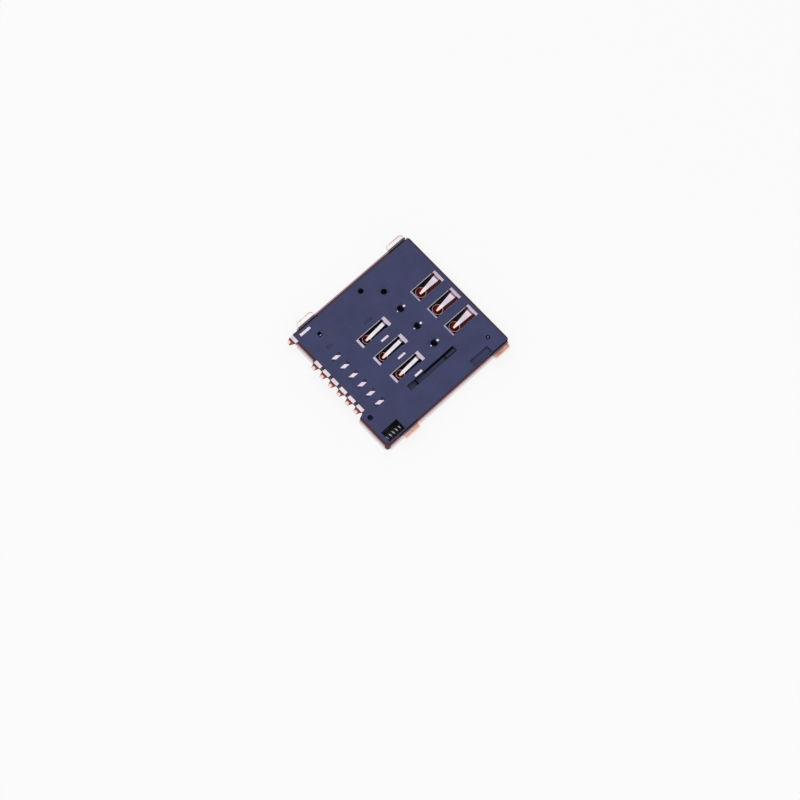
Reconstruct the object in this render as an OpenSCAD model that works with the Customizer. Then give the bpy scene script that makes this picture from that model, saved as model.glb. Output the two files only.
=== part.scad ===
// Push-push socket for a micro SIM card, lying on its steel cover with the board side up.
// The origin is the centre of the contact field, on the outer face of the cover.
// +Z points to the circuit board, +Y out of the card mouth, +X to the ejector side.

/* [Card] */
// Width of the card
card_w = 12; // [11.8:0.05:12.4]
// From the card's edge on the ejector side to the nearest contact column
card_side = 2.1; // [2:0.05:2.4]
// From the card's leading edge to the rear contact row
card_nose = 2.38; // [2.2:0.02:2.7]
// Leg of the card's cut corner
card_cut = 2.5; // [2.2:0.05:2.6]
// Free play between the card and the rail beside it
side_play = 0.14; // [0.08:0.01:0.2]
// Height of the card lane
lane_h = 0.9; // [0.88:0.01:1.05]

/* [Contacts] */
// Pitch of the contact columns
col_pitch = 2.54; // [2.5:0.01:2.6]
// Distance between the two contact rows
row_span = 7.62; // [7.5:0.02:7.9]
// Pitch of the solder tails
tail_pitch = 1.27; // [1.2:0.01:1.3]
// Thickness of the contact strip
strip_t = 0.13; // [0.1:0.01:0.15]
// Plastic between the strip and the board face
strip_cover = 0.12; // [0.1:0.01:0.15]
// Width of an embedded lead
lead_w = 0.34; // [0.28:0.01:0.4]
// Depth of the contact crests below the board face
crest_depth = 0.84; // [0.75:0.01:0.95]
// Radius of the round spoon at the end of a front-row beam
front_spoon_r = 0.58; // [0.5:0.01:0.6]
// Radius of the round spoon at the end of a rear-row beam
rear_spoon_r = 0.47; // [0.4:0.01:0.48]
// Depth of the spoons
spoon_d = 0.3; // [0.24:0.01:0.34]
// From the middle of a contact pad to the crest of its beam, towards the mouth
crest_set = 0.2; // [0:0.02:0.3]
// Metal frame left showing along the side of a window away from the ejector
frame_rim = 0.1; // [0.06:0.01:0.12]
// Metal frame buried in the plastic round a window
frame_bury = 0.12; // [0.08:0.01:0.16]
// Width of a front-row window
front_win_w = 1.49; // [1.4:0.01:1.6]
// Length of a front-row window
front_win_l = 3.56; // [3.5:0.02:3.6]
// Root width of a front-row beam
front_root_w = 0.7; // [0.6:0.01:0.8]
// Width of a rear-row window
rear_win_w = 1.19; // [1.15:0.01:1.3]
// Length of a rear-row window
rear_win_l = 3.98; // [3.9:0.02:4.1]
// Root width of a rear-row beam
rear_root_w = 0.41; // [0.38:0.01:0.5]
// Width of a beam where it runs into its spoon
beam_neck_w = 0.37; // [0.3:0.01:0.38]
// Width of a beam at its end in the spoon
beam_tip_w = 0.22; // [0.18:0.01:0.3]
// Plastic lip that narrows a rear window on the ejector side
lip_w = 0.1; // [0.06:0.01:0.12]
// Width of a lead where it slants below its slot
slant_w = 0.46; // [0.4:0.01:0.5]
// Pitch of the slots over the slanting leads
slot_pitch = 1.308; // [1.27:0.002:1.32]
// Width of a slot over a slanting lead
slot_w = 0.41; // [0.36:0.01:0.5]
// Length of a slot over a slanting lead
slot_l = 1.18; // [1:0.02:1.3]
// Width of a solder tail where it leaves the housing
tail_w = 0.89; // [0.7:0.01:0.95]
// Length of a solder tail before it steps up to the board
tail_l = 0.4; // [0.36:0.02:0.5]
// Length of the tail's foot on the board
foot_l = 0.42; // [0.3:0.02:0.6]
// Width of the foot at its end
foot_tip_w = 0.4; // [0.3:0.01:0.5]

/* [Housing] */
// Thickness of the floor on the board side
floor_t = 0.45; // [0.42:0.01:0.6]
// Thickness of the rail on the side away from the ejector
rail_w = 0.45; // [0.4:0.01:0.6]
// Thickness of the wall outside the slider
outer_wall = 0.25; // [0.22:0.01:0.4]
// From the front contact row to the mouth edge
mouth_reach = 3.29; // [3.2:0.02:3.8]
// Thickness of the rear wall
rear_wall = 0.9; // [0.8:0.02:1.2]
// Reach of the spring bay behind the rear edge
bay_reach = 0.75; // [0.65:0.02:1]
// Width of the spring bay
bay_w = 4.15; // [3.8:0.05:4.3]
// Thickness of the wall behind the spring
bay_wall = 0.35; // [0.3:0.01:0.45]
// Depth of the block that closes the slider channel at the mouth
block_l = 2; // [1.9:0.02:2.3]
// Radius of the bridge-cut holes
bridge_r = 0.38; // [0.32:0.01:0.4]
// Radius of the plain hole beside them
plain_r = 0.33; // [0.28:0.01:0.36]
// Radius of the holes left by pins of the mould
mould_r = 0.3; // [0.2:0.01:0.32]

/* [Cover] */
// Thickness of the cover's sheet
sheet_t = 0.15; // [0.12:0.01:0.2]
// Gap between the cover's walls and the housing
cover_gap = 0.02; // [0.01:0.01:0.05]
// Inside radius of the cover's bends
bend_r = 0.1; // [0.08:0.01:0.15]
// Height of the cover's side walls
wall_h = 1.38; // [1.1:0.02:1.4]
// Length of a solder foot on the cover
tab_l = 2.2; // [1.8:0.05:2.4]
// Reach of a solder foot from the cover's wall
tab_reach = 0.48; // [0.42:0.02:0.7]
// Corner radius of a solder foot
tab_r = 0.32; // [0.2:0.02:0.34]
// Width of a hold-down tongue
tongue_w = 0.9; // [0.8:0.05:1]
// Length of a hold-down tongue
tongue_l = 3; // [2.4:0.1:3.2]
// How far a hold-down tongue leans into the lane
tongue_dip = 0.12; // [0.06:0.01:0.15]

/* [Ejector] */
// Slider travel from the free to the latched position
lock_travel = 4.4; // [4.2:0.05:4.6]
// Further travel past the latched position
over_travel = 0.6; // [0.5:0.02:0.7]
// Width of the slider
slider_w = 2.42; // [2.4:0.02:2.7]
// Running clearance round the slider
slider_play = 0.05; // [0.04:0.01:0.06]
// Length of the slider's card hook
hook_l = 1.1; // [0.8:0.05:1.2]
// Reach of the card hook in front of the card's edge
hook_reach = 1; // [0.7:0.05:1.05]
// Free space behind the hook at the end of its travel
hook_room = 0.41; // [0.3:0.01:0.6]
// From the slider's front end to the seat of its spring
seat_set = 4.7; // [4.6:0.02:4.8]
// Length of the guide lug
lug_l = 1.36; // [1:0.02:1.5]
// Width of the guide lug
lug_w = 0.43; // [0.36:0.01:0.46]
// From the slider's front end to its guide lug
lug_set = 2.71; // [2.5:0.02:2.9]
// Diameter of the cam pin's wire
pin_d = 0.32; // [0.28:0.01:0.34]
// Radial play of the cam pin in its pivot hole
pin_play = 0.03; // [0.02:0.01:0.05]
// Outside diameter of the spring
spring_d = 0.84; // [0.76:0.01:0.86]
// Diameter of the spring's wire
wire_d = 0.13; // [0.1:0.01:0.15]
// Pitch of the spring's open turns
spring_pitch = 0.42; // [0.38:0.01:0.5]

/* [Hidden] */
$fn = 48;
eps = 0.01;
// How far a cut runs past the faces that it opens
past = 1;
plastic = [0.26, 0.275, 0.39];
slider_plastic = [0.2, 0.21, 0.3];
plated = [0.93, 0.87, 0.89];
steel = [0.86, 0.83, 0.84];
spring_steel = [0.45, 0.44, 0.47];

// Levels above the cover's outer face
lane_z = sheet_t;
floor_z = lane_z + lane_h;
board_z = floor_z + floor_t;
strip_z1 = board_z - strip_cover;
strip_z0 = strip_z1 - strip_t;
crest_z = board_z - crest_depth;

// Card lane and housing outline, left to right
row_y = row_span / 2;
card_x1 = col_pitch + card_side;
card_x0 = card_x1 - card_w;
lane_x0 = card_x0 - side_play;
body_x0 = lane_x0 - rail_w;
slider_x0 = card_x1 + side_play;
slider_x1 = slider_x0 + slider_w;
channel_x1 = slider_x1 + slider_play;
body_x1 = channel_x1 + outer_wall;

// Card lane and housing outline, mouth to rear
stroke = lock_travel + over_travel;
front_y = row_y + mouth_reach;
block_y = front_y - block_l;
nose_locked = -row_y - card_nose;
nose_free = nose_locked + lock_travel;
stop_y = nose_free - stroke - hook_l - hook_room;
rear_y = stop_y - rear_wall;
bay_y = rear_y - bay_reach;
bay_x0 = body_x1 - bay_w;
corner_r = 0.4;
bay_r = 0.3;
mouth_cut = 0.3;

// Slider
slider_y1 = block_y - 2 * slider_play;
slider_y0 = nose_free - hook_l;
slider_z0 = lane_z + slider_play;
slider_z1 = floor_z - slider_play;
lug_y1 = slider_y1 - lug_set;
stop_play = 0.02;
guide_x1 = slider_x0 - 0.06;
guide_x0 = guide_x1 - lug_w - 0.25;
guide_y0 = lug_y1 - lug_l - stroke - stop_play;
lug_x1 = guide_x1 - 0.04;
web_z0 = floor_z + 0.02;
web_z1 = floor_z + 0.18;
web_x1 = slider_x0 + 0.52;
// Shallow recess in the board face over the slider, from the block at the mouth
recess_w = 0.79;
recess_l = 2.46;
recess_d = 0.3;
recess_side = 0.03;
recess_set = 0.2;

// Heart cam and its pin
pin_r = pin_d / 2;
lane_r = pin_r + 0.06;
pin_gap = 0.04;
span_z = lane_z + pin_r + 0.09;
deck_z = span_z + pin_r + pin_gap;
cam_z = deck_z + 0.2;
cam_end = 0.45;
cam_y1 = slider_y1 - cam_end;
follow_y = cam_y1 - stroke;
follow_x = slider_x0 + 0.82;
cam_in_x = follow_x + 0.7;
cam_out_x = slider_x0 + 0.42;
cam_notch_x = (cam_in_x + cam_out_x) / 2;
pivot_x = slider_x0 + 1.04;
pivot_y = block_y + 0.55;
pin_l = norm([follow_x - pivot_x, follow_y - pivot_y]);
pin_turn = asin((follow_x - pivot_x) / pin_l);
pin_bend = 0.26;
pin_top = board_z - 0.08 - pin_r / 2;
flank_t = 0.17;
pin_tongue_w = 0.8;
pin_tongue_l = 2.6;
pin_tongue_y = pivot_y - pin_tongue_l;

// Spring
spring_x = slider_x1 - 0.6;
spring_z = (lane_z + floor_z) / 2;
seat_y = slider_y1 - seat_set;
spring_y0 = bay_y + bay_wall + 0.03;
spring_y1 = seat_y - 0.03;
coil_r = (spring_d - wire_d) / 2;
boss_r = coil_r - wire_d / 2 - 0.08;
seat_x0 = spring_x - spring_d / 2 - 0.08;
boss_l = 0.6;
// Window over the spring: width, length, and its place from the spring's axis and the bay's edge
spring_win_w = 1.3;
spring_win_l = 2.12;
spring_win_side = 0.71;
spring_win_end = 0.57;
coil_sides = 6;
coil_steps = 12;
end_turns = 1.5;

// Contacts: column, row (front 1, rear -1) and place of the tail, counted in tail pitches
CONTACTS = [[1, 1, 2], [0, 1, 0], [-1, 1, -2], [1, -1, 1], [0, -1, -1], [-1, -1, -3]];
tip_room = [0.82, 0.7];
tip_band = [0.28, 0.18];
bend_room = [0.6, 0.52];
root_grip = 0.3;
frame_gap = 0.03;
spoon_t = 0.5 * strip_t;
rib_z = crest_z + spoon_t + 0.06;
lead_bend_y = -row_y - 1.2;
lead_lean = 0.45;
bridge_y = row_y - 2.67;
stub_w = 0.8 * lead_w;
bridge_end = bridge_r + stub_w / 2 - 0.03;
tail_y = rear_y + 0.23;
tail_step = 0.16;
tail_play = 0.03;
slot_y = tail_y + 1.66;
slot_shift = 0.13;

// Card-detect terminal, with a leaf bent into an arch
detect_x = lane_x0 + 0.135;
detect_tail_x = lane_x0 + 0.01;
detect_y = stop_y + 1.27;
leaf_t = 0.1;
leaf_r = 0.6;
leaf_x = detect_x + 0.065;
leaf_y = nose_locked + 0.99;
leaf_z0 = lane_z + 0.3;
leaf_z1 = floor_z - slider_play;
leaf_end = detect_y + 0.16;

// Cover
wall_x0 = body_x0 - cover_gap - sheet_t;
wall_x1 = body_x1 + cover_gap + sheet_t;
flap_y = bay_y - cover_gap - sheet_t;
bend_o = bend_r + sheet_t;
// Flaps behind the housing, over the bay and beside the tails: start, outer face and length
tail_flap_set = 0.6;
tail_flap_l = 2.45;
FLAPS = [[bay_x0 + 0.1, flap_y, bay_w - bay_r - 0.15],
         [lane_x0 + tail_flap_set, rear_y - cover_gap - sheet_t, tail_flap_l]];
// Solder feet: from the mouth edge to the front pair, and from the rear edge to the middle of the rear pair
front_tab_set = 0.37;
rear_tab_set = 2.25;
tab_y = [front_y - front_tab_set - tab_l / 2, rear_y + rear_tab_set];
tongue_x = [-1.615 * col_pitch, 0.385 * col_pitch];
tongue_y = 1.6;
// Snaps between the housing's sides and the cover: side wall, where it faces, place along it
SNAPS = [[body_x0, -1, -2.6], [body_x0, -1, 1.8], [body_x1, 1, tab_y[0]], [body_x1, 1, tab_y[1]]];
snap_l = 1.3;
snap_z = [lane_z + 0.35, lane_z + 0.7];
snap_room = 0.08;

// Box between two opposite corners
module slab(lo, hi) {
    translate(lo) cube(hi - lo);
}

// Flat lane with round ends between two points
module lane(p, q, r) {
    d = q - p;
    translate(p) circle(r);
    translate(q) circle(r);
    translate(p) rotate(atan2(d.y, d.x)) translate([0, -r]) square([norm(d), 2 * r]);
}

// Flat strip along a row of points
module strip(points, w) {
    for (i = [0 : len(points) - 2]) lane(points[i], points[i + 1], w / 2);
}

// Profile drawn in Y and Z, pulled to both sides of X = 0
module side_profile(points, w) {
    rotate([90, 0, 90]) translate([0, 0, -w / 2]) linear_extrude(w) polygon(points);
}

// Window of a contact row: row is 0 for the rear one and 1 for the front one
function win_w(row) = row == 1 ? front_win_w : rear_win_w;
function win_l(row) = row == 1 ? front_win_l : rear_win_l;
function win_y0(row) = (row == 1 ? row_y : -row_y) - tip_room[row];
function win_y1(row) = win_y0(row) + win_l(row);
function crest_y(row) = (row == 1 ? row_y : -row_y) + crest_set;
function bend_y(row) = win_y1(row) - bend_room[row];
function root_w(row) = row == 1 ? front_root_w : rear_root_w;
function spoon_r(row) = row == 1 ? front_spoon_r : rear_spoon_r;

function contact_x(c) = c[0] * col_pitch;
function contact_row(c) = c[1] == 1 ? 1 : 0;
function tail_x(c) = c[2] * tail_pitch;
function lead_x(c) = tail_x(c) + tail_pitch;
function slot_x(place) = slot_shift + (place + 0.5) * slot_pitch;

module window_2d(x, row, grow) {
    translate([x - win_w(row) / 2 - grow, win_y0(row) - grow])
        square([win_w(row) + 2 * grow, win_l(row) + 2 * grow]);
}

// Flat part of a contact: frame round its window, lead to the tail and cut bridge
module contact_plan(c) {
    x = contact_x(c);
    row = contact_row(c);
    high = [slot_x(c[2]) + lead_lean, slot_y + lead_lean];
    low = [slot_x(c[2]) - lead_lean, slot_y - lead_lean];
    difference() {
        union() {
            window_2d(x, row, frame_bury);
            if (row == 1) {
                strip([[x, win_y0(row)], [x, bridge_y + bridge_end]], stub_w);
                strip([[x + win_w(row) / 2, win_y0(row)], [lead_x(c), win_y0(row) - 0.8],
                       [lead_x(c), lead_bend_y]], lead_w);
            } else {
                strip([[x, win_y1(row)], [x, bridge_y - bridge_end]], stub_w);
                strip([[x, win_y0(row)], [lead_x(c), lead_bend_y]], lead_w);
            }
            strip([[lead_x(c), lead_bend_y], high], lead_w);
            strip([high, low], slant_w);
            strip([low, [tail_x(c), tail_y + 0.35]], lead_w);
            translate([tail_x(c) - lead_w / 2, tail_y + 0.15]) square([lead_w, 0.2]);
        }
        // Opening round the beam
        translate([x - win_w(row) / 2 + frame_rim, win_y0(row) + tip_band[row]])
            square([win_w(row) - frame_rim - frame_gap, bend_y(row) + 0.2 - win_y0(row) - tip_band[row]]);
    }
}

// Round spoon at the end of a beam, with its lowest point at the origin
module spoon(r) {
    cap_r = (r * r + spoon_d * spoon_d) / (2 * spoon_d);
    rotate_extrude() intersection() {
        translate([0, cap_r]) difference() {
            circle(cap_r);
            circle(cap_r - spoon_t);
        }
        square([cap_r, spoon_d]);
    }
}

// Spring beam of a contact: it slopes into the card lane, tapers, and ends as a rib in its spoon
module contact_beam(c) {
    row = contact_row(c);
    root = bend_y(row);
    crest = crest_y(row);
    half = root_w(row) / 2;
    neck = beam_neck_w / 2;
    tip = beam_tip_w / 2;
    rim = crest + spoon_r(row);
    end = crest - tip;
    end_z = rib_z - (strip_z1 - rib_z) / (root - crest) * tip;
    translate([contact_x(c), 0, 0]) {
        intersection() {
            side_profile([[root + root_grip, strip_z0], [root, strip_z0], [end, end_z - strip_t],
                          [end, end_z], [root, strip_z1], [root + root_grip, strip_z1]], win_w(row));
            linear_extrude(board_z) {
                polygon([[-half, root + root_grip], [-half, root], [-neck, rim],
                         [-tip, crest], [tip, crest], [neck, rim],
                         [half, root], [half, root + root_grip]]);
                translate([0, crest]) circle(tip);
            }
        }
        difference() {
            translate([0, crest, crest_z]) spoon(spoon_r(row));
            side_profile([[end, end_z], [root, strip_z1], [root, board_z], [end, board_z]], beam_neck_w);
        }
    }
}

// Solder tail: it leaves the housing level with the strip and steps up to a tapered foot on the board
module tail(x) {
    foot_z = board_z - strip_t;
    bar_end = tail_y - tail_l;
    step_end = bar_end - tail_step;
    tip_end = step_end - foot_l;
    translate([x, 0, 0]) intersection() {
        side_profile([[tail_y + 0.3, strip_z0], [bar_end, strip_z0], [step_end, foot_z],
                      [tip_end, foot_z], [tip_end, board_z], [step_end, board_z],
                      [bar_end, strip_z1], [tail_y + 0.3, strip_z1]], tail_w);
        linear_extrude(board_z + eps)
            polygon([[-lead_w / 2, tail_y + 0.3], [-tail_w / 2, tail_y + 0.12], [-tail_w / 2, bar_end],
                     [-foot_tip_w / 2, tip_end], [foot_tip_w / 2, tip_end], [tail_w / 2, bar_end],
                     [tail_w / 2, tail_y + 0.12], [lead_w / 2, tail_y + 0.3]]);
    }
}

module contact_flat(c) {
    translate([0, 0, strip_z0]) linear_extrude(strip_t) contact_plan(c);
    tail(tail_x(c));
}

module contact(c) {
    color(plated) union() {
        contact_flat(c);
        contact_beam(c);
    }
}

// Card-detect terminal: flat bar and tail, and the leaf that stands in the lane
module detect_flat() {
    translate([0, 0, strip_z0]) linear_extrude(strip_t) {
        translate([detect_x - lead_w / 2, tail_y + 0.15])
            square([lead_w, detect_y - tail_y - 0.15]);
    }
    tail(detect_tail_x);
    slab([leaf_x - leaf_t / 2, detect_y - 0.4, leaf_z1 - eps],
         [leaf_x + leaf_t / 2, detect_y, strip_z1]);
}

module detect_contact() color(plated) union() {
    detect_flat();
    translate([0, 0, leaf_z0]) linear_extrude(leaf_z1 - leaf_z0) {
        translate([leaf_x - leaf_t / 2, detect_y - 0.4]) square([leaf_t, leaf_y - detect_y + 0.4]);
        translate([leaf_x + 2 * leaf_r - leaf_t / 2, leaf_end]) square([leaf_t, leaf_y - leaf_end]);
        intersection() {
            translate([leaf_x + leaf_r, leaf_y]) difference() {
                circle(leaf_r + leaf_t / 2);
                circle(leaf_r - leaf_t / 2);
            }
            translate([leaf_x - leaf_r, leaf_y]) square(4 * leaf_r);
        }
    }
}

// Plan of the housing, with its spring bay, slanted bay shoulder and rounded corners
module housing_plan() {
    difference() {
        polygon([[body_x0, rear_y], [bay_x0 - 0.3, rear_y], [bay_x0, bay_y],
                 [body_x1, bay_y], [body_x1, front_y], [body_x0 + mouth_cut, front_y],
                 [body_x0, front_y - mouth_cut]]);
        corner_cut([body_x1, front_y], [-1, -1], corner_r);
        corner_cut([body_x1, bay_y], [-1, 1], bay_r);
    }
}

// What rounding takes off a square corner: toward gives the sides on which the plan lies
module corner_cut(p, toward, r) {
    translate(p) scale([toward.x, toward.y]) difference() {
        translate([-past, -past]) square(past + r);
        translate([r, r]) circle(r);
    }
}

// Slot from the board face down to a lead, or through the floor
module floor_cut(x0, x1, y0, y1, z0 = floor_z - past) {
    slab([x0, y0, z0], [x1, y1, board_z + past]);
}

module housing_cavity() {
    // Card lane and slider channel, open at the mouth
    slab([lane_x0, stop_y, -past], [channel_x1, block_y, floor_z]);
    slab([lane_x0, stop_y, -past], [slider_x0, front_y + past, floor_z]);
    // Spring pocket in the bay
    slab([seat_x0, bay_y + bay_wall, -past], [channel_x1, stop_y + past, floor_z]);
    // Lead-in along the mouth edge
    translate([lane_x0, front_y, floor_z]) rotate([90, 0, 90])
        linear_extrude(slider_x0 - lane_x0) polygon([[-0.3, 0], [0.1, -0.1], [0.1, 0.2]]);
    // Trough and pivot hole of the cam pin
    translate([0, 0, -past]) linear_extrude(past + deck_z)
        lane([pivot_x, pivot_y], [pivot_x, block_y - past], pin_r + 0.14);
    translate([pivot_x, pivot_y, 0]) cylinder(r = pin_r + pin_play, h = board_z + past);
    translate([pivot_x, pivot_y, board_z - 0.11])
        cylinder(r1 = pin_r + pin_play, r2 = pin_r + pin_play + 0.12, h = 0.12);
    // Slot of the guide lug, and the recess for the web that carries it
    floor_cut(guide_x0, guide_x1, guide_y0, lug_y1 + stop_play);
    slab([guide_x0, slider_y0 - stroke - 0.06, floor_z - past],
         [web_x1 + 0.06, lug_y1 + stop_play, web_z1 + 0.03]);
    // Shallow recess at the ejector side, and the window over the spring
    recess_x1 = slider_x1 + recess_side;
    recess_y1 = block_y - recess_set;
    floor_cut(recess_x1 - recess_w, recess_x1, recess_y1 - recess_l, recess_y1, board_z - recess_d);
    hatch_x0 = spring_x - spring_win_side;
    hatch_y0 = bay_y + spring_win_end;
    floor_cut(hatch_x0, hatch_x0 + spring_win_w, hatch_y0, hatch_y0 + spring_win_l);
}

module housing_contact_cuts() {
    for (col = [-1 : 1], row = [0, 1]) translate([0, 0, -past]) linear_extrude(board_z + 2 * past)
        difference() {
            window_2d(col * col_pitch, row, 0);
            if (row == 0) translate([col * col_pitch + win_w(row) / 2 - lip_w, win_y0(row) + tip_band[row]])
                square([past, bend_y(row) - 0.2 - win_y0(row) - tip_band[row]]);
        }
    // Holes where the bridges between the two rows were cut, with a notch over each cut end
    for (col = [-2 : 1]) translate([col * col_pitch, bridge_y, 0]) {
        translate([0, 0, floor_z - past]) cylinder(r = col > -2 ? bridge_r : plain_r, h = board_z + past);
        floor_cut(-0.45, 0.45, -0.45, 0.45, board_z - 0.04);
        if (col > -2) {
            floor_cut(-stub_w / 2, stub_w / 2, 0, bridge_r + 0.25, strip_z1);
            floor_cut(-stub_w / 4, stub_w / 4, -bridge_r - 0.16, 0, strip_z1);
        }
    }
    // Slots that bare the leads: straight ones, then the row over the slanting stretch
    for (i = [-3, -1, 1, 3]) floor_cut(i * tail_pitch - stub_w / 2, i * tail_pitch + stub_w / 2,
        -row_y + 1.06, -row_y + 2.06, i == -3 ? board_z - 0.06 : strip_z1);
    for (i = [-3 : 2]) floor_cut(slot_x(i) - slot_w / 2, slot_x(i) + slot_w / 2,
        slot_y - slot_l / 2, slot_y + slot_l / 2, strip_z1);
    floor_cut(slot_x(-4) - slot_w / 2, slot_x(-4) + slot_w / 2,
        slot_y - 0.1, slot_y + slot_l / 2, board_z - 0.06);
    // Notches that let the tails out
    notch = tail_w / 2 + tail_play;
    for (i = [-3 : 2]) floor_cut(i * tail_pitch - notch, i * tail_pitch + notch,
        rear_y - past, tail_y, strip_z0 - tail_play);
    floor_cut(body_x0 - past, detect_tail_x + notch, rear_y - past, tail_y, strip_z0 - tail_play);
    // Openings over the detect bar and the free end of its leaf
    floor_cut(detect_x - lead_w / 2, detect_x + lead_w / 2, tail_y + 0.52, detect_y - 0.05, strip_z1);
    floor_cut(leaf_x + 2 * leaf_r - 0.27, leaf_x + 2 * leaf_r + 0.27, leaf_end - 0.21, leaf_end + 0.21);
}

module housing() color(plastic) difference() {
    union() {
        difference() {
            translate([0, 0, lane_z]) linear_extrude(board_z - lane_z) housing_plan();
            housing_cavity();
        }
        // Corner block that turns away a card put in the wrong way round
        translate([0, 0, lane_z]) linear_extrude(lane_h + eps) {
            edge = lane_x0 + 1.85;
            free = card_x0 + card_cut + nose_locked - over_travel - 0.4;
            polygon([[edge, stop_y - eps], [edge, free - edge], [free - stop_y, stop_y - eps]]);
        }
        // Post that centres the rear end of the spring
        translate([spring_x, bay_y + bay_wall - eps, spring_z]) rotate([-90, 0, 0])
            cylinder(r = boss_r, h = boss_l);
        // Wedges that snap into the cover's side windows
        for (s = SNAPS) snap(s[0], s[1], s[2]);
    }
    housing_contact_cuts();
    for (c = CONTACTS) contact_flat(c);
    detect_flat();
    // Recesses beside the cover's solder feet
    for (y = tab_y) {
        floor_cut(body_x0 - past, body_x0 + 0.2, y - tab_l / 2 - 0.15, y + tab_l / 2 + 0.15, floor_z + 0.05);
        floor_cut(body_x1 - 0.15, body_x1 + past, y - tab_l / 2 - 0.15, y + tab_l / 2 + 0.15, floor_z + 0.05);
    }
    // Lower edges eased to clear the inside of the cover's bends
    for (side = [[body_x0, 1], [body_x1, -1]]) translate([side[0], bay_y - past, lane_z])
        rotate([-90, 0, 0]) linear_extrude(front_y - bay_y + 2 * past) edge_cut(side[1]);
    for (flap = FLAPS) translate([flap.x - 0.1, flap.y + cover_gap + sheet_t, lane_z])
        rotate([90, 0, 90]) linear_extrude(flap.z + 0.2) mirror([0, 1]) edge_cut(1);
    // Holes left by pins of the mould: a blind one in the rear wall, one through the floor
    translate([bay_x0 + 0.65, rear_y + 0.07, board_z - 0.8]) cylinder(r = mould_r, h = past);
    translate([lane_x0 + 0.77, -0.6, floor_z - 0.3]) cylinder(r = mould_r, h = past);
}

// Chamfer section at a lower edge, with the housing on the side that toward points to
module edge_cut(toward) {
    leg = bend_r + 0.03;
    polygon([[-toward * past, leg], [-toward * past, -leg - past], [0, -leg], [toward * leg, 0], [0, leg]]);
}

// Wedge on a housing side wall, on the side that toward points to
module snap(x, toward, y) {
    translate([x, y, 0]) scale([toward, 1, 1]) rotate([90, 0, 0])
        translate([0, 0, -snap_l / 2]) linear_extrude(snap_l)
        polygon([[-eps, snap_z[0]], [0.02, snap_z[0]], [0.12, snap_z[1] - 0.05],
                 [0.12, snap_z[1]], [-eps, snap_z[1]]]);
}

module slider() color(slider_plastic) difference() {
    union() {
        slab([slider_x0, seat_y, slider_z0], [slider_x1, slider_y1, slider_z1]);
        slab([slider_x0, slider_y0, slider_z0], [seat_x0, seat_y + eps, slider_z1]);
        // Hook behind the card's leading edge
        slab([card_x1 - hook_reach, slider_y0, slider_z0], [slider_x0 + eps, nose_free, slider_z1]);
        // Web below the card, and the guide lug on it
        slab([lug_x1 - lug_w, slider_y0, web_z0], [web_x1, lug_y1, web_z1]);
        slab([slider_x0 + 0.02, slider_y0, slider_z1 - eps], [web_x1, lug_y1, web_z1]);
        slab([lug_x1 - lug_w, lug_y1 - lug_l, web_z0], [lug_x1, lug_y1, board_z - 0.06]);
        translate([spring_x, seat_y + eps, spring_z]) rotate([90, 0, 0])
            cylinder(r = boss_r, h = boss_l);
    }
    // Deck under the cam pin, open at the front end
    translate([0, 0, -past]) linear_extrude(past + deck_z)
        polygon([[slider_x0 + flank_t, follow_y - 0.3], [seat_x0 - 0.1, follow_y - 0.3],
                 [seat_x0 - 0.1, seat_y + 0.45], [slider_x1 - flank_t, seat_y + 0.45],
                 [slider_x1 - flank_t, slider_y1 + past], [slider_x0 + flank_t, slider_y1 + past]]);
    // Heart-shaped track: way in, latching notch, way out
    translate([0, 0, deck_z - eps]) {
        linear_extrude(cam_z - deck_z) lane([follow_x, follow_y], [cam_in_x, cam_y1], lane_r);
        linear_extrude(cam_z - deck_z + 0.03) {
            lane([cam_in_x, cam_y1], [cam_notch_x, cam_y1 - over_travel], lane_r);
            lane([cam_notch_x, cam_y1 - over_travel], [cam_out_x, cam_y1], lane_r);
        }
        linear_extrude(cam_z - deck_z + 0.06) {
            lane([cam_out_x, cam_y1], [cam_out_x, follow_y + 1.3], lane_r);
            lane([cam_out_x, follow_y + 1.3], [follow_x, follow_y + 0.3], lane_r);
        }
    }
}

// Wire bent down at both ends: one leg turns in the housing, the other rides in the cam track
module cam_pin() color(steel) translate([pivot_x, pivot_y, 0]) rotate(pin_turn) {
    translate([0, 0, span_z + pin_bend]) cylinder(r = pin_r, h = pin_top - span_z - pin_bend);
    translate([0, 0, pin_top]) cylinder(r1 = pin_r, r2 = pin_r / 2, h = pin_r / 2);
    pin_elbow(0, 0);
    translate([0, -pin_bend, span_z]) rotate([90, 0, 0]) cylinder(r = pin_r, h = pin_l - 2 * pin_bend);
    pin_elbow(-pin_l, 180);
    translate([0, -pin_l, span_z + pin_bend])
        cylinder(r = pin_r, h = cam_z - pin_gap - span_z - pin_bend);
}

module pin_elbow(y, turn) {
    translate([0, y, span_z + pin_bend]) rotate(turn) translate([0, -pin_bend, 0])
        rotate([0, 90, 0]) rotate_extrude(angle = 90) translate([pin_bend, 0]) circle(pin_r);
}

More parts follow.
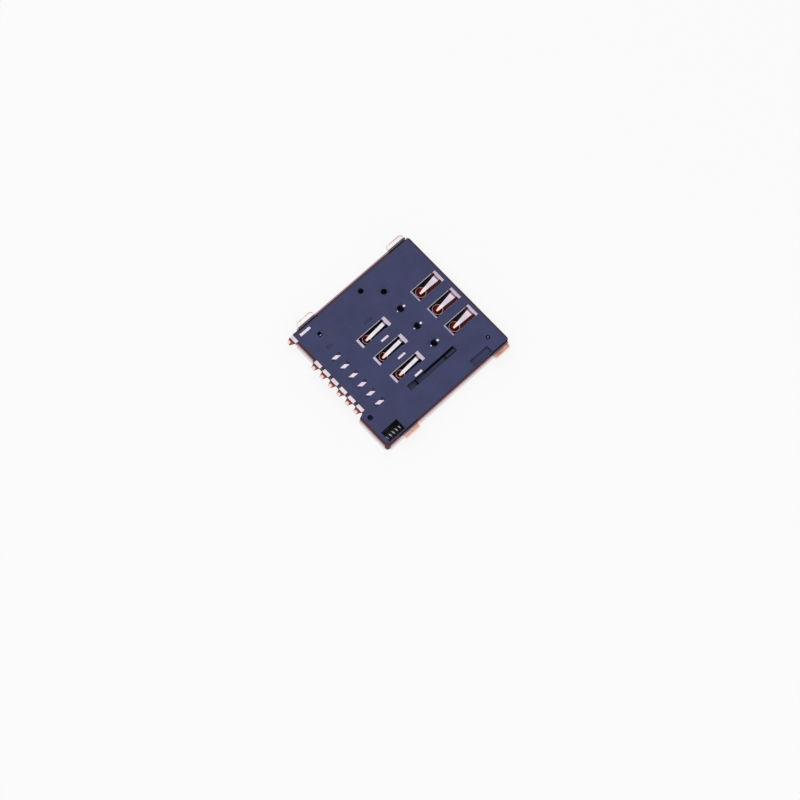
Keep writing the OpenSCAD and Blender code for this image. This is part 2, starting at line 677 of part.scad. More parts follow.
// Coil spring with closed ends, swept along Y
function coil_turns(l) = 2 * end_turns + (l - wire_d - 2 * end_turns * wire_d * 1.05) / spring_pitch;
function coil_y(u, n, l) = u < end_turns ? u * wire_d * 1.05
    : u > n - end_turns ? l - wire_d - (n - u) * wire_d * 1.05
    : end_turns * wire_d * 1.05 + (u - end_turns) * spring_pitch;
module eject_spring() color(spring_steel) {
    l = spring_y1 - spring_y0;
    n = coil_turns(l);
    rings = floor(n * coil_steps);
    points = [for (i = [0 : rings], j = [0 : coil_sides - 1])
        let (u = n * i / rings, a = 360 * u, b = 360 * j / coil_sides, r = coil_r + wire_d / 2 * cos(b))
        [r * cos(a), wire_d / 2 + coil_y(u, n, l) + wire_d / 2 * sin(b), -r * sin(a)]];
    sides = [for (i = [0 : rings - 1], j = [0 : coil_sides - 1])
        let (k = (j + 1) % coil_sides, a = i * coil_sides, b = a + coil_sides)
        [a + k, b + k, b + j, a + j]];
    ends = [[for (j = [coil_sides - 1 : -1 : 0]) j],
            [for (j = [0 : coil_sides - 1]) rings * coil_sides + j]];
    translate([spring_x, spring_y0, spring_z]) polyhedron(points, concat(sides, ends));
}

// Side wall profile of the cover in X and Z, for a wall on the +X side at x = 0, from the plate to z
module wall_profile(z) {
    difference() {
        union() {
            translate([-bend_o, bend_o]) circle(bend_o);
            translate([-sheet_t, bend_o]) square([sheet_t, z - bend_o]);
        }
        translate([-bend_o, bend_o]) circle(bend_r);
        translate([-3 * bend_o, 0]) square([2 * bend_o, 4 * bend_o]);
        translate([-bend_o - eps, bend_o]) square([bend_r + eps, 4 * bend_o]);
    }
}

// The same with a solder foot turned outward at the board face
module tab_profile() {
    top = board_z - bend_o;
    difference() {
        wall_profile(top + eps);
        translate([-sheet_t, top]) square(bend_o);
    }
    difference() {
        translate([bend_r, top]) circle(bend_o);
        translate([bend_r, top]) circle(bend_r);
        translate([-bend_o, top - 2 * bend_o]) square([4 * bend_o, 2 * bend_o]);
        translate([bend_r, top]) square(2 * bend_o);
    }
    translate([bend_r, board_z - sheet_t]) square([tab_reach - bend_r, sheet_t]);
}

// Wall or foot between two places along Y, on the side that toward points to
module along_side(toward, y0, y1) {
    translate([toward == 1 ? wall_x1 : wall_x0, y1, 0]) scale([toward, 1, 1]) rotate([90, 0, 0])
        linear_extrude(y1 - y0) children();
}

module shell_plate() {
    difference() {
        polygon([[wall_x0 + bend_o, rear_y + 0.2], [bay_x0 - 0.1, rear_y + 0.2],
                 [bay_x0 + 0.1, flap_y + bend_o], [wall_x1 - bend_o, flap_y + bend_o],
                 [wall_x1 - bend_o, front_y - 0.1], [wall_x0 + bend_o, front_y - 0.1]]);
        corner_cut([wall_x1 - bend_o, front_y - 0.1], [-1, -1], corner_r);
        corner_cut([wall_x0 + bend_o, front_y - 0.1], [1, -1], corner_r);
        for (x = tongue_x) tongue_slit([x, tongue_y], tongue_w, tongue_l);
        tongue_slit([pivot_x - 0.1, pin_tongue_y], pin_tongue_w, pin_tongue_l);
    }
}

// Slit round a tongue that is rooted on its +Y side
module tongue_slit(p, w, l) {
    slit = 0.2;
    translate(p) difference() {
        translate([-w / 2 - slit, -l / 2 - slit]) square([w + 2 * slit, l + slit]);
        translate([-w / 2, -l / 2]) square([w, l + slit]);
    }
}

// Tongue bent into the lane from its root
module tongue(p, w, l, dip) {
    lean = atan(dip / l);
    translate([p.x, p.y + l / 2, 0]) rotate([-lean, 0, 0])
        translate([-w / 2, -l, 0]) cube([w, l, sheet_t]);
}

module shell() color(steel) {
    difference() {
        union() {
            linear_extrude(sheet_t) shell_plate();
            translate([FLAPS[1].x, FLAPS[1].y + bend_o, 0]) cube([FLAPS[1].z, bend_o + rear_wall, sheet_t]);
            for (side = [-1, 1]) {
                along_side(side, side == 1 ? bay_y + bay_r + 0.05 : rear_y + 0.9, front_y - 0.25)
                    wall_profile(wall_h);
                for (y = tab_y) along_side(side, y - tab_l / 2, y + tab_l / 2) tab_profile();
            }
            for (flap = FLAPS) translate([flap.x, flap.y, 0]) rotate([90, 0, 90])
                linear_extrude(flap.z) mirror([1, 0]) wall_profile(wall_h);
        }
        for (s = SNAPS) translate([s[0], s[2], 0])
            slab([-bend_o - 0.1, -snap_l / 2 - snap_room, snap_z[0] - snap_room],
                 [bend_o + 0.1, snap_l / 2 + snap_room, snap_z[1] + snap_room]);
        // Rounded corners of the solder feet
        for (y = tab_y, end = [-1, 1]) {
            foot_corner([wall_x1 + tab_reach, y + end * tab_l / 2], [-1, -end]);
            foot_corner([wall_x0 - tab_reach, y + end * tab_l / 2], [1, -end]);
        }
    }
    for (x = tongue_x) tongue([x, tongue_y], tongue_w, tongue_l, tongue_dip);
    tongue([pivot_x - 0.1, pin_tongue_y], pin_tongue_w, pin_tongue_l, 0.05);
}

module foot_corner(p, toward) {
    translate([0, 0, board_z - 2 * sheet_t]) linear_extrude(past) corner_cut(p, toward, tab_r);
}

housing();
shell();
slider();
cam_pin();
eject_spring();
contact(CONTACTS[0]);  // contact_c1
contact(CONTACTS[1]);  // contact_c2
contact(CONTACTS[2]);  // contact_c3
contact(CONTACTS[3]);  // contact_c5
contact(CONTACTS[4]);  // contact_c6
contact(CONTACTS[5]);  // contact_c7
detect_contact();
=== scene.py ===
"""Looks of a push-push socket for a micro SIM card, lying on its steel cover with the board side up."""
import math

import bmesh
import bpy
from mathutils import Matrix, Vector


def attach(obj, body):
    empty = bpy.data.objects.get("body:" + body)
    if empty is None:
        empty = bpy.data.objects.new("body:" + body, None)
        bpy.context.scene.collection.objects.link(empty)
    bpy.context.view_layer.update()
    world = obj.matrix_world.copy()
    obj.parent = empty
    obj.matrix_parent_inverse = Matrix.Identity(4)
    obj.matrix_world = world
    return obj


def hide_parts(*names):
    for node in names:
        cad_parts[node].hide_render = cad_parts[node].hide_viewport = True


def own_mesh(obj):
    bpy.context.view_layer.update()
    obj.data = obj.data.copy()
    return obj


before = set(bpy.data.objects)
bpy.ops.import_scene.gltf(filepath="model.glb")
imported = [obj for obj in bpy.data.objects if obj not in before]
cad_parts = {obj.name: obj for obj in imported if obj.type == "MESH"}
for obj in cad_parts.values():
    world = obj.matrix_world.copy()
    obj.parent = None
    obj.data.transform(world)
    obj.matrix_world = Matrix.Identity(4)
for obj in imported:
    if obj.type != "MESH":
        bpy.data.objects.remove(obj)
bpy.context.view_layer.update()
scene = bpy.context.scene

MM = 0.001
# Contact field, in millimetres: pitch of the columns and of the tails, and half the span of the rows
COLUMN_PITCH, TAIL_PITCH, ROW_Y = 2.54, 1.27, 3.81
# Spoons: set from their row, and radius of the hollow in the rear row and in the mouth row
SPOON_SET, REAR_HOLLOW_R, MOUTH_HOLLOW_R = 0.2, 0.42, 0.53
# Roots of the beams in the rear row and in the mouth row, and step and foot of the solder tails
REAR_ROOT_Y, MOUTH_ROOT_Y, TAIL_STEP_Y, TAIL_FOOT_Y = -1.25, 6.15, -9.39, -9.83
# Board face above the cover, and the housing's sides, mouth edge, rear edge and bay edge, in millimetres
BOARD_Z, LEFT_X, RIGHT_X, MOUTH_Y, REAR_Y, BAY_Y = 1.5, -7.95, 7.5, 7.1, -9.2, -9.95
# Slanted shoulder between the rear edge and the bay edge
SHOULDER_X0, SHOULDER_X1 = 2.95, 3.45
# Solder feet: middle between the front and rear ones, half their distance, and their rounded corners
FEET_MID_Y, FEET_HALF_Y = -0.66, 6.29
FOOT_CORNER_X, FOOT_CORNER_Y, FOOT_CORNER_R = 0.33, 0.78, 0.32
# Spring: axis, ends, coil radius, wire, pitch of the open turns and number of closed turns at each end
SPRING_X, SPRING_Z, SPRING_Y0, SPRING_Y1 = 6.6, 0.6, -9.57, 0.27
COIL_R, WIRE_D, OPEN_PITCH, END_TURNS = 0.355, 0.13, 0.42, 1.5
WIRE_SIDES, TURN_STEPS = 12, 24
# Guide lug of the slider: middle and size
LUG_X, LUG_Y, LUG_W, LUG_L = 4.465, 1.61, 0.43, 1.36
# Rounding of the moulded edges
HOUSING_EASE, SLIDER_EASE = 0.025, 0.03

CONTACTS = ("contact_c1", "contact_c2", "contact_c3", "contact_c5", "contact_c6", "contact_c7",
            "detect_contact")


class Value:
    """A shader socket that takes part in Python expressions."""

    def __init__(self, finish, socket):
        self.finish, self.socket = finish, socket

    def math(self, operation, *values):
        return self.finish.add("ShaderNodeMath", {"operation": operation}, dict(enumerate(values)))

    def __add__(self, other):
        return self.math("ADD", self, other)

    def __sub__(self, other):
        return self.math("SUBTRACT", self, other)

    def __rsub__(self, other):
        return self.math("SUBTRACT", other, self)

    def __mul__(self, other):
        return self.math("MULTIPLY", self, other)

    __radd__ = __add__

    def __abs__(self):
        return self.math("ABSOLUTE", self)

    def __pow__(self, power):
        return self.math("POWER", self, power)

    def least(self, other):
        return self.math("MINIMUM", self, other)

    def most(self, other):
        return self.math("MAXIMUM", self, other)

    def offset(self, pitch):
        """Signed distance to the nearest multiple of the pitch."""
        return self.math("WRAP", self, pitch / 2, -pitch / 2)

    def ramp(self, start, end, low=0.0, high=1.0):
        """Goes smoothly from low at start to high at end."""
        settings = {"interpolation_type": "SMOOTHSTEP"}
        return self.finish.add("ShaderNodeMapRange", settings, {0: self, 1: start, 2: end, 3: low, 4: high})


class Finish:
    """A material under construction."""

    def __init__(self, name):
        self.material = bpy.data.materials.new(name)
        self.material.use_nodes = True
        self.tree = self.material.node_tree
        self.shader = self.tree.nodes["Principled BSDF"]

    def add(self, kind, settings, sockets, out=0):
        """Adds a node, sets it up and feeds its sockets with values or links. Gives one of its outputs."""
        node = self.tree.nodes.new(kind)
        for key, setting in settings.items():
            setattr(node, key, setting)
        self.feed(node, sockets)
        return Value(self, node.outputs[out])

    def feed(self, node, sockets):
        for key, value in sockets.items():
            if isinstance(value, Value):
                self.tree.links.new(value.socket, node.inputs[key])
            else:
                node.inputs[key].default_value = value

    def place(self):
        """Object coordinates in millimetres."""
        at = self.add("ShaderNodeTexCoord", {}, {}, "Object")
        return self.add("ShaderNodeVectorMath", {"operation": "SCALE"}, {0: at, "Scale": 1 / MM})

    def xyz(self, vector):
        node = self.add("ShaderNodeSeparateXYZ", {}, {0: vector}).socket.node
        return [Value(self, socket) for socket in node.outputs]

    def facing(self):
        """X, Y and Z of the surface's own direction."""
        return self.xyz(self.add("ShaderNodeTexCoord", {}, {}, "Normal"))

    def stretch(self, vector, x, y, z):
        return self.add("ShaderNodeVectorMath", {"operation": "MULTIPLY"}, {0: vector, 1: (x, y, z)})

    def noise(self, vector, scale, detail, rough=0.5):
        sockets = {"Vector": vector, "Scale": scale, "Detail": detail, "Roughness": rough}
        return self.add("ShaderNodeTexNoise", {}, sockets, "Fac")

    def mix(self, share, first, second):
        """Colour that goes from first to second."""
        sockets = {0: share, 6: first, 7: second}
        return self.add("ShaderNodeMix", {"data_type": "RGBA"}, sockets, 2)

    def bump(self, height, distance, strength):
        return self.add("ShaderNodeBump", {}, {"Height": height, "Distance": distance, "Strength": strength})


def rgb(red, green, blue):
    return (red, green, blue, 1.0)


def moulded_plastic(name, colour, pale, shade):
    """Matt glass-filled moulding with flow marks, fine grain, paler edges of rubbed wear and painted
    highlight, and its own painted shade.
    """
    finish = Finish(name)
    place = finish.place()
    cloud = finish.noise(place, 0.55, 3.0)
    flow = finish.noise(finish.stretch(place, 3.2, 0.5, 3.2), 1.0, 4.0, 0.6)
    grain = finish.noise(place, 26.0, 2.0)
    eased = finish.add("ShaderNodeAttribute", {"attribute_name": "eased_edge"}, {}, "Fac")
    dark = rgb(*(0.82 * part for part in colour[:3]))
    body = finish.mix((cloud * 0.6 + flow * 0.4).ramp(0.3, 0.7), dark, colour)
    body = finish.mix((grain - 0.5).ramp(0.0, 0.35) * 0.1, body, pale)
    # Paler eased edges: rubbed wear and a painted highlight
    body = finish.mix(eased * flow.ramp(0.35, 0.65, 0.1, 0.35), body, pale)
    sockets = {
        "Base Color": shade(finish, *finish.xyz(place), body),
        "Roughness": 0.54 + flow * 0.12 + grain * 0.08,
        "IOR": 1.5,
        "Specular IOR Level": 0.2,
        "Normal": finish.bump(grain * 0.7 + flow * 0.6, 0.006 * MM, 0.5),
    }
    finish.feed(finish.shader, sockets)
    return finish.material


def board_face_shade(finish, x, y, z, body):
    """Painted shade on the board face: warm dark bands along its outer edges beside the cover's walls, dark
    lips and recesses in it, and a dark red-brown corner at the bay.
    """
    rear = x.ramp(SHOULDER_X0, SHOULDER_X1, REAR_Y, BAY_Y) - y
    outward = (x - RIGHT_X).most(LEFT_X - x).most(rear).most(y - MOUTH_Y)
    board_face = z.ramp(BOARD_Z - 0.3, BOARD_Z - 0.1)
    # Painted shade on the floors of the recesses in the board face
    painted_recess_shade = z.ramp(BOARD_Z - 0.03, BOARD_Z - 0.05) * board_face * outward.ramp(-0.4, -0.3, 1.0, 0.0)
    body = finish.mix(painted_recess_shade * 0.2, body, rgb(0.012, 0.013, 0.04))
    # Painted shade on the upper walls of holes, windows and recesses
    upright = abs(finish.facing()[2]).ramp(0.3, 0.8, 1.0, 0.0)
    painted_lip_shade = upright * z.ramp(BOARD_Z - 0.4, BOARD_Z - 0.3) * outward.ramp(-0.2, -0.1, 1.0, 0.0)
    body = finish.mix(painted_lip_shade * 0.7, body, rgb(0.010, 0.010, 0.028))
    # Painted shade: warm dark bands along the outer edges of the board face
    body = finish.mix(outward.ramp(-0.34, -0.14) * board_face * 0.7, body, rgb(0.062, 0.038, 0.048))
    body = finish.mix(outward.ramp(-0.15, -0.06) * board_face * 0.85, body, rgb(0.08, 0.018, 0.022))
    # Painted shade on the outer walls at the corner beside the bay
    painted_corner_shade = (x - RIGHT_X).ramp(-0.4, -0.25) * (y - BAY_Y).ramp(0.25, 0.4, 1.0, 0.0)
    painted_corner_shade = painted_corner_shade * outward.ramp(-0.1, -0.06)
    return finish.mix(painted_corner_shade, body, rgb(0.13, 0.028, 0.026))


def guide_lug_shade(finish, x, y, z, body):
    """Painted shade as a dark outline round the guide lug, on its top and on the web that carries it."""
    off_lug = (abs(x - LUG_X) - LUG_W / 2).most(abs(y - LUG_Y) - LUG_L / 2)
    painted_outline_shade = off_lug.ramp(-0.19, -0.07) * off_lug.ramp(0.05, 0.2, 1.0, 0.0) * z.ramp(1.1, 1.2)
    return finish.mix(painted_outline_shade * 0.85, body, rgb(0.006, 0.006, 0.018))


def plated_strip():
    """Satin plated strip with copper-coloured cut edges and painted light and shade, and a darker, warm spoon
    at each beam's end.
    """
    finish = Finish("plated contact strip")
    place = finish.place()
    x, y, z = finish.xyz(place)
    _, along, up = finish.facing()
    rolled = finish.noise(finish.stretch(place, 14.0, 0.8, 14.0), 1.0, 3.0, 0.6)
    stain = finish.noise(place, 1.6, 3.0)
    plating = finish.mix(stain.ramp(0.35, 0.7), rgb(0.80, 0.72, 0.79), rgb(0.72, 0.62, 0.70))
    mouth_row = y.ramp(0.0, 0.1)
    aside = abs(x.offset(COLUMN_PITCH))
    behind = (abs(y - SPOON_SET) - ROW_Y) * (mouth_row * 2.0 - 1.0)
    # Painted reflection on one plating: frames round the windows painted darker, beams painted brighter
    # towards their spoon, and the root a painted dark line of shade
    run = mouth_row.ramp(0.0, 1.0, REAR_ROOT_Y, MOUTH_ROOT_Y) - y
    field = aside.ramp(0.78, 0.82, 1.0, 0.0) * run.ramp(-0.8, -0.7) * run.ramp(3.7, 3.8, 1.0, 0.0)
    frame_painted_shade = finish.mix(run.ramp(2.6, 2.9) * mouth_row, rgb(0.58, 0.49, 0.61), rgb(0.38, 0.33, 0.41))
    frame_painted_shade = finish.mix(aside.ramp(0.47, 0.5) * run.ramp(0.1, 0.2), frame_painted_shade, rgb(0.45, 0.41, 0.46))
    plating = finish.mix(field, plating, frame_painted_shade)
    beam_painted_highlight = finish.mix(mouth_row, rgb(0.74, 0.68, 0.76), rgb(0.66, 0.55, 0.65))
    painted_brightening = run.ramp(0.0, 0.6, 0.5, 0.0).most(run.ramp(1.1, 1.7))
    beam_painted_highlight = finish.mix(painted_brightening, beam_painted_highlight, rgb(0.82, 0.77, 0.81))
    plating = finish.mix(along.ramp(-0.1, -0.15), plating, beam_painted_highlight)
    painted_root_shade = run.ramp(-0.2, -0.13) * run.ramp(0.02, 0.08, 1.0, 0.0)
    plating = finish.mix(painted_root_shade * 0.85, plating, rgb(0.12, 0.09, 0.12))
    # Sheared faces stand upright
    sheared = abs(up).ramp(0.35, 0.6, 1.0, 0.0)
    surface = finish.mix(sheared, plating, rgb(0.34, 0.10, 0.08))
    # Hollow of a spoon and its darker brim, outside the rib that runs down its middle: warm plating darkened
    # with painted shade, darkest in the hollow
    reach = (aside * aside + behind * behind) ** 0.5
    deep = z.ramp(1.0, 1.12, 1.0, 0.0)
    rib = (aside - behind.ramp(0.0, 0.5, 0.1, 0.19)).ramp(0.0, 0.03, 1.0, 0.0) * behind.ramp(-0.13, -0.09)
    beyond_hollow = reach - mouth_row.ramp(0.0, 1.0, REAR_HOLLOW_R, MOUTH_HOLLOW_R)
    spoon_plating_and_shade = beyond_hollow.ramp(0.07, 0.09, 1.0, 0.0) * deep * (1.0 - rib)
    surface = finish.mix(spoon_plating_and_shade * 0.85, surface, rgb(0.36, 0.20, 0.22))
    surface = finish.mix(spoon_plating_and_shade * beyond_hollow.ramp(-0.02, 0.01, 1.0, 0.0), surface, rgb(0.13, 0.014, 0.014))
    # Warm plating on the end of the rib
    surface = finish.mix(reach.ramp(0.1, 0.6, 0.75, 0.0) * deep * rib, surface, rgb(0.98, 0.66, 0.58))
    # Painted shade on the step of a solder tail, where it bends away, and its pink foot
    from_axis = abs(x.offset(TAIL_PITCH))
    foot = (from_axis * from_axis * 22.0 + (y - TAIL_FOOT_Y) ** 2.0 * 26.0).ramp(0.5, 1.3, 1.0, 0.0)
    beyond = y.ramp(TAIL_STEP_Y - 0.03, TAIL_STEP_Y + 0.03, 1.0, 0.0)
    tone = finish.mix(foot, rgb(0.25, 0.085, 0.07), rgb(0.95, 0.64, 0.60))
    surface = finish.mix(beyond, surface, tone)
    sockets = {
        "Base Color": surface,
        "Metallic": 1.0,
        "Roughness": 0.28 + rolled * 0.14 + sheared * 0.2,
        "Normal": finish.bump(rolled, 0.002 * MM, 0.4),
    }
    finish.feed(finish.shader, sockets)
    return finish.material


def cover_sheet():
    """Rolled cover sheet: satin with grain along the card's way, warmer cut edges, painted shade on walls,
    feet and inside.
    """
    finish = Finish("cover sheet")
    place = finish.place()
    x, y, z = finish.xyz(place)
    across, _, up = finish.facing()
    grain = finish.noise(finish.stretch(place, 22.0, 0.6, 22.0), 1.0, 4.0, 0.65)
    cloud = finish.noise(place, 0.7, 3.0)
    sheet = finish.mix(cloud.ramp(0.35, 0.65), rgb(0.93, 0.89, 0.89), rgb(0.87, 0.82, 0.82))
    # Painted shade on greyer upright walls and on darker top edges of the walls beside the housing, walls
    # warmer towards their top, and painted shade in the dark inside of the bends that carry the solder feet
    upright = abs(up).ramp(0.4, 0.6, 1.0, 0.0)
    sheet = finish.mix(upright * cloud.ramp(0.3, 0.7, 0.35, 0.7), sheet, rgb(0.56, 0.53, 0.56))
    cut_edge = up.ramp(0.6, 0.8) * z.ramp(BOARD_Z - 0.3, BOARD_Z - 0.2)
    painted_wall_edge_shade = cut_edge * z.ramp(BOARD_Z - 0.1, BOARD_Z - 0.06, 1.0, 0.0)
    sheet = finish.mix(painted_wall_edge_shade, sheet, rgb(0.37, 0.24, 0.27))
    sheet = finish.mix(upright * z.ramp(0.7, 1.2, 0.0, 0.65), sheet, rgb(0.74, 0.55, 0.54))
    inward = across * x.ramp(-0.1, 0.1, 1.0, -1.0)
    foot = z.ramp(BOARD_Z - 0.26, BOARD_Z - 0.2)
    sheet = finish.mix(inward.ramp(0.2, 0.75) * foot, sheet, rgb(0.03, 0.022, 0.026))
    # Solder feet: depth inside their rounded outline, copper-coloured along it; on the ejector side a painted
    # salmon shade, mottled, with a painted pale highlight along the outline
    from_foot = abs(abs(y - FEET_MID_Y) - FEET_HALF_Y) - FOOT_CORNER_Y
    reach = (x - RIGHT_X).most(LEFT_X - x) - FOOT_CORNER_X
    round_end = (reach.most(0.0) ** 2.0 + from_foot.most(0.0) ** 2.0) ** 0.5
    within = FOOT_CORNER_R - round_end - reach.most(from_foot).least(0.0)
    rim = within.ramp(0.05, 0.14, 1.0, 0.0) * foot * reach.ramp(-0.12, 0.0)
    broken = finish.noise(finish.stretch(place, 1.3, 1.3, 0.0), 1.0, 2.0).ramp(0.42, 0.58, 0.35, 1.0)
    sheet = finish.mix(rim * broken, sheet, rgb(0.56, 0.21, 0.12))
    ejector_side = x.ramp(0.0, 0.1) * foot * reach.ramp(-0.26, -0.12) * from_foot.ramp(0.4, 0.5, 1.0, 0.0)
    painted_foot_shade = finish.mix(y.ramp(-2.0, 2.0), rgb(0.66, 0.41, 0.36), rgb(0.42, 0.21, 0.18))
    mottle = finish.noise(finish.stretch(place, 3.0, 1.4, 0.0), 1.0, 2.0)
    painted_foot_shade = finish.mix(mottle.ramp(0.45, 0.6), painted_foot_shade, rgb(0.60, 0.33, 0.22))
    painted_foot_shade = finish.mix(mottle.ramp(0.45, 0.35, 0.0, 0.4), painted_foot_shade, rgb(0.40, 0.16, 0.13))
    painted_foot_shade = finish.mix(within.ramp(0.0, 0.2, 1.0, 0.0), painted_foot_shade, rgb(0.93, 0.72, 0.66))
    sheet = finish.mix(ejector_side, sheet, painted_foot_shade)
    # Inner face: painted shade, dark and matt, with a painted dark red copper reflection below the mouth
    # row's beams and painted plastic-coloured light below the guide slot
    inner = up.ramp(0.6, 0.8) * z.ramp(0.3, 0.4, 1.0, 0.0)
    aside = x.offset(COLUMN_PITCH)
    below = (aside + y.ramp(5.6, 6.4, 0.0, 0.9)).ramp(-0.1, 0.1) * aside.ramp(0.5, 0.6, 1.0, 0.0)
    below = below * abs(x).ramp(3.6, 3.7, 1.0, 0.0)
    below = below * y.ramp(3.4, 3.8) * y.ramp(6.6, 6.9, 1.0, 0.0)
    painted_inner_shade = finish.mix(below, rgb(0.005, 0.005, 0.006), rgb(0.20, 0.024, 0.026))
    # Painted plastic-coloured light on the inner face below the guide slot
    slot = x.ramp(3.5, 3.7) * x.ramp(4.5, 4.7, 1.0, 0.0) * y.ramp(-4.2, -4.0) * y.ramp(-2.5, -2.3, 1.0, 0.0)
    painted_inner_shade = finish.mix(slot, painted_inner_shade, rgb(0.20, 0.20, 0.35))
    sheet = finish.mix(inner, sheet, painted_inner_shade)
    sockets = {
        "Base Color": sheet,
        "Metallic": 1.0 - inner,
        "Roughness": 0.26 + grain * 0.14 + inner * 0.3,
        "Normal": finish.bump(grain, 0.0012 * MM, 0.3),
    }
    finish.feed(finish.shader, sockets)
    return finish.material


def drawn_wire(name, colour, roughness):
    """Drawn wire with fine scratches and a little tarnish, darker and bluish towards its top near the board
    face.
    """
    finish = Finish(name)
    place = finish.place()
    scratch = finish.noise(place, 30.0, 3.0)
    tone = finish.noise(place, 2.2, 3.0)
    dull = rgb(*(0.6 * part for part in colour[:3]))
    wire = finish.mix(tone.ramp(0.35, 0.7), colour, dull)
    top_end = finish.xyz(place)[2].ramp(BOARD_Z - 0.3, BOARD_Z - 0.2)
    sockets = {
        "Base Color": finish.mix(top_end, wire, rgb(0.17, 0.17, 0.28)),
        "Metallic": 1.0,
        "Roughness": roughness + scratch * 0.15,
        "Normal": finish.bump(scratch, 0.0015 * MM, 0.4),
    }
    finish.feed(finish.shader, sockets)
    return finish.material


def dress(piece, material):
    piece.data.materials.clear()
    piece.data.materials.append(material)


def as_piece(mesh, name, material, body):
    """Makes an object of a bmesh in millimetres, in its final place."""
    bmesh.ops.scale(mesh, vec=(MM, MM, MM), verts=mesh.verts)
    data = bpy.data.meshes.new(name)
    mesh.to_mesh(data)
    mesh.free()
    piece = bpy.data.objects.new(name, data)
    scene.collection.objects.link(piece)
    dress(piece, material)
    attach(piece, body)
    return piece


def eased_copy(node, ease, material, body):
    """Merged copy of a CAD node with its sharp edges rounded, which stands for the node."""
    mesh = bmesh.new()
    mesh.from_mesh(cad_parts[node].data)
    bmesh.ops.scale(mesh, vec=(1 / MM,) * 3, verts=mesh.verts)
    bmesh.ops.remove_doubles(mesh, verts=mesh.verts, dist=0.0005)
    flat, folded = math.radians(1), math.radians(40)
    bmesh.ops.join_triangles(mesh, faces=mesh.faces, angle_face_threshold=flat, angle_shape_threshold=math.pi)
    sharp = [edge for edge in mesh.edges if edge.is_manifold and edge.calc_face_angle() > folded]
    eased_layer = mesh.faces.layers.float.new("eased_edge")
    made = bmesh.ops.bevel(mesh, geom=sharp, offset=ease, offset_type="OFFSET", affect="EDGES", segments=2,
                           profile=0.5, clamp_overlap=False, loop_slide=False, material=-1)
    for face in made["faces"]:
        face[eased_layer] = 1.0
    piece = as_piece(mesh, node + "_eased", material, body)
    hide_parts(node)


def coil_spring(material):
    """Round wire wound with closed ends, made by turning a ring of wire about the spring's axis."""
    length = SPRING_Y1 - SPRING_Y0
    closed_pitch = 1.05 * WIRE_D
    open_turns = (length - WIRE_D - 2 * END_TURNS * closed_pitch) / OPEN_PITCH
    mesh = bmesh.new()
    start = Matrix.Translation((SPRING_X + COIL_R, SPRING_Y0 + WIRE_D / 2, SPRING_Z))
    ring = bmesh.ops.create_circle(mesh, segments=WIRE_SIDES, radius=WIRE_D / 2, matrix=start)["verts"]
    wire = list({edge for vert in ring for edge in vert.link_edges})
    first = wire
    for turns, pitch in ((END_TURNS, closed_pitch), (open_turns, OPEN_PITCH), (END_TURNS, closed_pitch)):
        steps = round(TURN_STEPS * turns)
        made = bmesh.ops.spin(mesh, geom=wire, cent=(SPRING_X, 0, SPRING_Z), axis=(0, 1, 0),
                              dvec=(0, turns * pitch / steps, 0), angle=2 * math.pi * turns, steps=steps)
        wire = [part for part in made["geom_last"] if isinstance(part, bmesh.types.BMEdge)]
    for end in (first, wire):
        bmesh.ops.contextual_create(mesh, geom=[edge for edge in end if edge.is_valid])
    bmesh.ops.recalc_face_normals(mesh, faces=mesh.faces)
    for face in mesh.faces:
        face.smooth = len(face.verts) == 4
    piece = as_piece(mesh, "eject_spring_wire", material, "base")
    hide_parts("eject_spring")
    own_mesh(piece)


def photo_camera():
    """Camera at the photograph's place, found from the contact pitch and the housing's edges."""
    azimuth, tilt, roll = math.radians(44.358), math.radians(17.046), math.radians(2.931)
    right = Vector((math.cos(azimuth), math.sin(azimuth), 0))
    back = Vector((math.sin(azimuth) * math.sin(tilt), -math.cos(azimuth) * math.sin(tilt), math.cos(tilt)))
    up = back.cross(right)
    across = right * math.cos(roll) + up * math.sin(roll)
    upward = up * math.cos(roll) - right * math.sin(roll)
    data = bpy.data.cameras.new("photo camera")
    data.lens, data.sensor_width = 85.2, 36
    data.clip_start, data.clip_end = 0.01, 10
    camera = bpy.data.objects.new("photo camera", data)
    shift, rise, distance = -0.9512, -6.9296, 194.66
    place = across * shift + upward * rise + back * distance + Vector((0, 0, BOARD_Z))
    turn = Matrix((across, upward, back)).transposed()
    camera.matrix_world = Matrix.Translation(place * MM) @ turn.to_4x4()
    scene.collection.objects.link(camera)
    scene.camera = camera


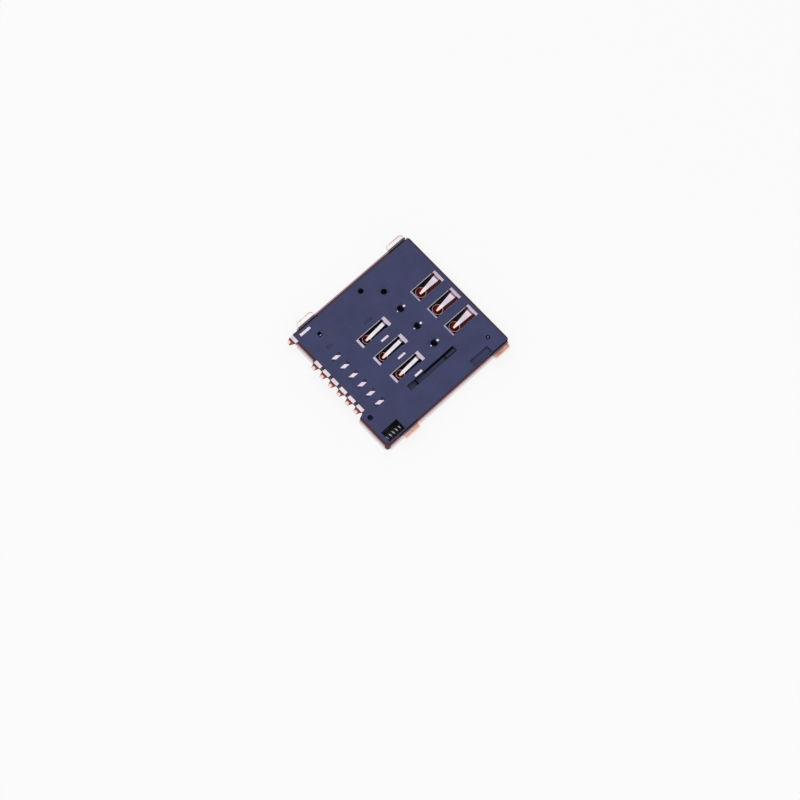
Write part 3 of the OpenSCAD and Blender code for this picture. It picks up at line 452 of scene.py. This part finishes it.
def studio():
    """White table under the socket, a pale room and two soft lamps."""
    mesh = bmesh.new()
    bmesh.ops.create_grid(mesh, x_segments=1, y_segments=1, size=0.6)
    bmesh.ops.translate(mesh, verts=mesh.verts, vec=(0, 0, -0.02 * MM))
    data = bpy.data.meshes.new("table")
    mesh.to_mesh(data)
    mesh.free()
    table = bpy.data.objects.new("table", data)
    scene.collection.objects.link(table)
    paper = Finish("white table")
    matt = {"Base Color": rgb(0.92, 0.92, 0.92), "Roughness": 0.9, "Specular IOR Level": 0.1}
    paper.feed(paper.shader, matt)
    path = paper.add("ShaderNodeLightPath", {}, {}).socket.node
    rays = ("Is Camera Ray", "Is Glossy Ray", "Is Transmission Ray")
    direct, mirrored, through = (Value(paper, path.outputs[ray]) for ray in rays)
    seen = direct + mirrored + through
    glow = paper.add("ShaderNodeEmission", {}, {"Color": rgb(1, 1, 1), "Strength": 1.0})
    sockets = {0: seen.least(1.0) * 0.84, 1: Value(paper, paper.shader.outputs[0]), 2: glow}
    mixed = paper.add("ShaderNodeMixShader", {}, sockets)
    paper.tree.links.new(mixed.socket, paper.tree.nodes["Material Output"].inputs["Surface"])
    dress(table, paper.material)

    world = bpy.data.worlds.new("pale room")
    scene.world = world
    world.use_nodes = True
    world.node_tree.nodes["Background"].inputs["Color"].default_value = rgb(0.97, 0.98, 1.0)
    world.node_tree.nodes["Background"].inputs["Strength"].default_value = 0.62
    for name, spot, size, power in (("overhead lamp", (-0.09, -0.06, 0.34), 0.46, 0.36),
                                    ("side lamp", (0.24, -0.10, 0.20), 0.2, 0.1)):
        lamp = bpy.data.lights.new(name, "AREA")
        lamp.size, lamp.energy = size, power
        stand = bpy.data.objects.new(name, lamp)
        stand.location = spot
        stand.rotation_mode = "QUATERNION"
        stand.rotation_quaternion = Vector(spot).to_track_quat("Z", "Y")
        scene.collection.objects.link(stand)


photo_camera()
studio()
housing_plastic = moulded_plastic("housing plastic", rgb(0.060, 0.066, 0.155), rgb(0.12, 0.13, 0.24),
                                  board_face_shade)
slider_plastic = moulded_plastic("slider plastic", rgb(0.042, 0.046, 0.105), rgb(0.05, 0.055, 0.12),
                                 guide_lug_shade)
strip = plated_strip()
sheet = cover_sheet()
for node in CONTACTS:
    dress(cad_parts[node], strip)
dress(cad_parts["shell"], sheet)
dress(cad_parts["cam_pin"], drawn_wire("cam pin wire", rgb(0.80, 0.78, 0.78), 0.2))
eased_copy("housing", HOUSING_EASE, housing_plastic, "base")
eased_copy("slider", SLIDER_EASE, slider_plastic, "slider")
coil_spring(drawn_wire("spring wire", rgb(0.80, 0.78, 0.79), 0.36))

scene.view_settings.view_transform = "Standard"
